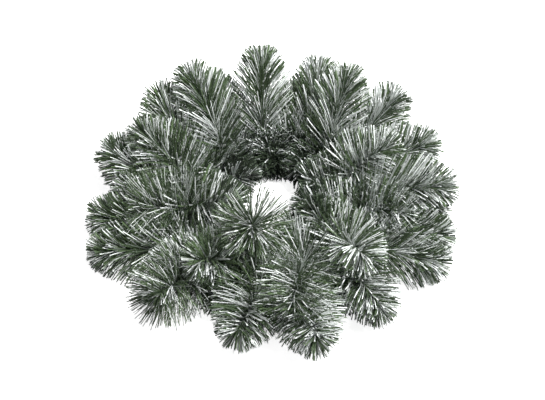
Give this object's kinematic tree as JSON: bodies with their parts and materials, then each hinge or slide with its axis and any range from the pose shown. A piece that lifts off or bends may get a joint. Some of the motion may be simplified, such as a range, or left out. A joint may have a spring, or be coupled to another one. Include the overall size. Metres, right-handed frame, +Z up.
{
  "type": "artificial spruce wreath",
  "caption": "Round artificial spruce wreath of frosted brush-like sprays wound on a wire hoop, lying on its back, with an open centre.",
  "frame": {"origin": "on the surface that the wreath lies on, under the middle of its outline seen from above", "axes": "+Z up, out of the wreath's face; -Y is the side nearest the viewer in the picture, +X to the viewer's right"},
  "size_m": [0.3612, 0.3378, 0.0981],
  "materials": {
    "needles": "green film needles with whitish frosting, matt",
    "wire": "dark green paint, satin"
  },
  "bodies": {
    "root": {"hoop": "wire", "outer_spray_01": "needles", "outer_spray_02": "needles", "outer_spray_03": "needles", "outer_spray_04": "needles", "outer_spray_05": "needles", "outer_spray_06": "needles", "outer_spray_07": "needles", "outer_spray_08": "needles", "outer_spray_09": "needles", "outer_spray_10": "needles", "outer_spray_11": "needles", "outer_spray_12": "needles", "outer_spray_13": "needles", "outer_spray_14": "needles", "outer_spray_15": "needles", "outer_spray_16": "needles", "outer_spray_17": "needles", "outer_spray_18": "needles", "upper_spray_01": "needles", "upper_spray_02": "needles", "upper_spray_03": "needles", "upper_spray_04": "needles", "upper_spray_05": "needles", "upper_spray_06": "needles", "upper_spray_07": "needles", "upper_spray_08": "needles", "upper_spray_09": "needles", "upper_spray_10": "needles", "upper_spray_11": "needles", "upper_spray_12": "needles", "upper_spray_13": "needles", "upper_spray_14": "needles", "upper_spray_15": "needles", "upper_spray_16": "needles", "upper_spray_17": "needles", "upper_spray_18": "needles", "inner_spray_01": "needles", "inner_spray_02": "needles", "inner_spray_03": "needles", "inner_spray_04": "needles", "inner_spray_05": "needles", "inner_spray_06": "needles", "inner_spray_07": "needles", "inner_spray_08": "needles", "inner_spray_09": "needles", "inner_spray_10": "needles", "inner_spray_11": "needles"}
  },
  "joints": []
}
